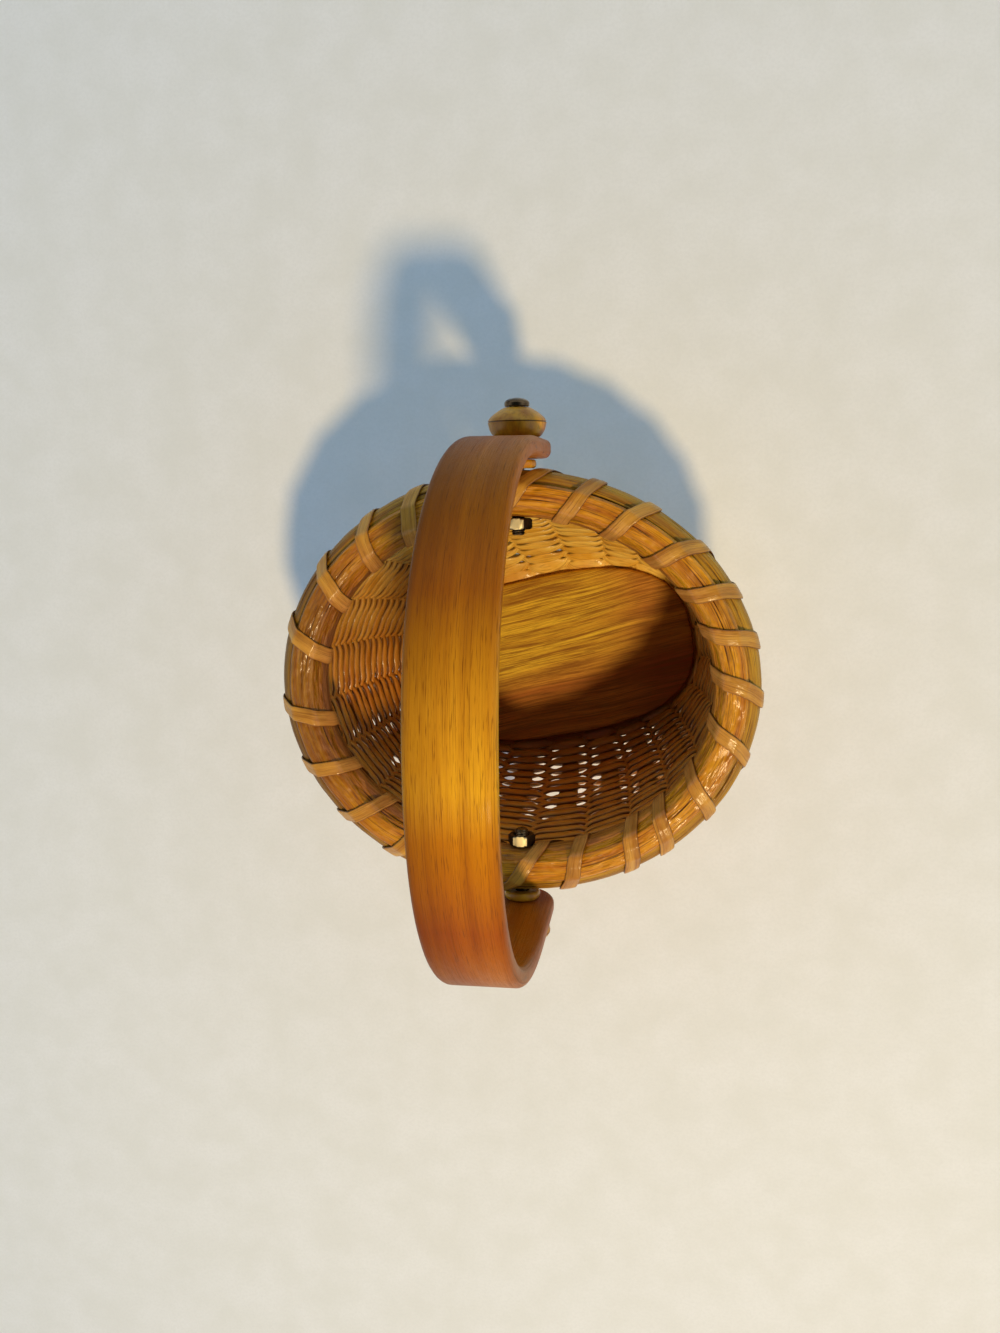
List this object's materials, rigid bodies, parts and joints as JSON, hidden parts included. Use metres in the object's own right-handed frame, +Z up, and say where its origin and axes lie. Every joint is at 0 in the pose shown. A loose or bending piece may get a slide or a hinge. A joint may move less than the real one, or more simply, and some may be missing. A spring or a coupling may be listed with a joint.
{
  "type": "nantucket basket",
  "caption": "Oval woven basket on a wooden base, with a lashed double rim and a bentwood strap handle that swings down to either side on two bolted pivots.",
  "frame": {"origin": "on the surface the basket stands on, under the middle of its rim", "axes": "+Z up; Y along the pivot bolts of the handle, from the front pivot to the back one; X along the oval of the rim"},
  "size_m": [0.1423, 0.1624, 0.1932],
  "materials": {
    "base_wood": "oiled hardwood, satin",
    "stave_cane": "split cane, satin",
    "cane_weave": "woven cane, varnished",
    "hoop_wood": "half-round bent wood, varnished",
    "filler_cane": "flat cane, glossy varnish",
    "lashing_cane": "peeled cane strip, glossy",
    "bentwood": "steamed and bent strap, satin varnish",
    "bone": "turned and polished bone",
    "steel": "dark, slightly oxidised steel"
  },
  "bodies": {
    "basket": {"base_board": "base_wood", "stave_01": "stave_cane", "stave_02": "stave_cane", "stave_03": "stave_cane", "stave_04": "stave_cane", "stave_05": "stave_cane", "stave_06": "stave_cane", "stave_07": "stave_cane", "stave_08": "stave_cane", "stave_09": "stave_cane", "stave_10": "stave_cane", "stave_11": "stave_cane", "stave_12": "stave_cane", "stave_13": "stave_cane", "stave_14": "stave_cane", "stave_15": "stave_cane", "stave_16": "stave_cane", "stave_17": "stave_cane", "stave_18": "stave_cane", "stave_19": "stave_cane", "stave_20": "stave_cane", "stave_21": "stave_cane", "stave_22": "stave_cane", "stave_23": "stave_cane", "woven_wall": "cane_weave", "rim_outer_hoop": "hoop_wood", "rim_inner_hoop": "hoop_wood", "rim_top_filler": "filler_cane", "rim_lashing": "lashing_cane", "pivot_bolt_back": "steel", "outer_knob_back": "bone", "inner_washer_back": "bone", "hex_nut_back": "steel", "pivot_bolt_front": "steel", "outer_knob_front": "bone", "inner_washer_front": "bone", "hex_nut_front": "steel"},
    "handle": {"handle": "bentwood"}
  },
  "joints": [
    {"name": "handle_swing", "type": "hinge", "parent": "basket", "child": "handle", "pos_m": [0.0015, 0, 0.085], "axis": [0, 1, 0], "range_deg": [-137, 134]}
  ]
}
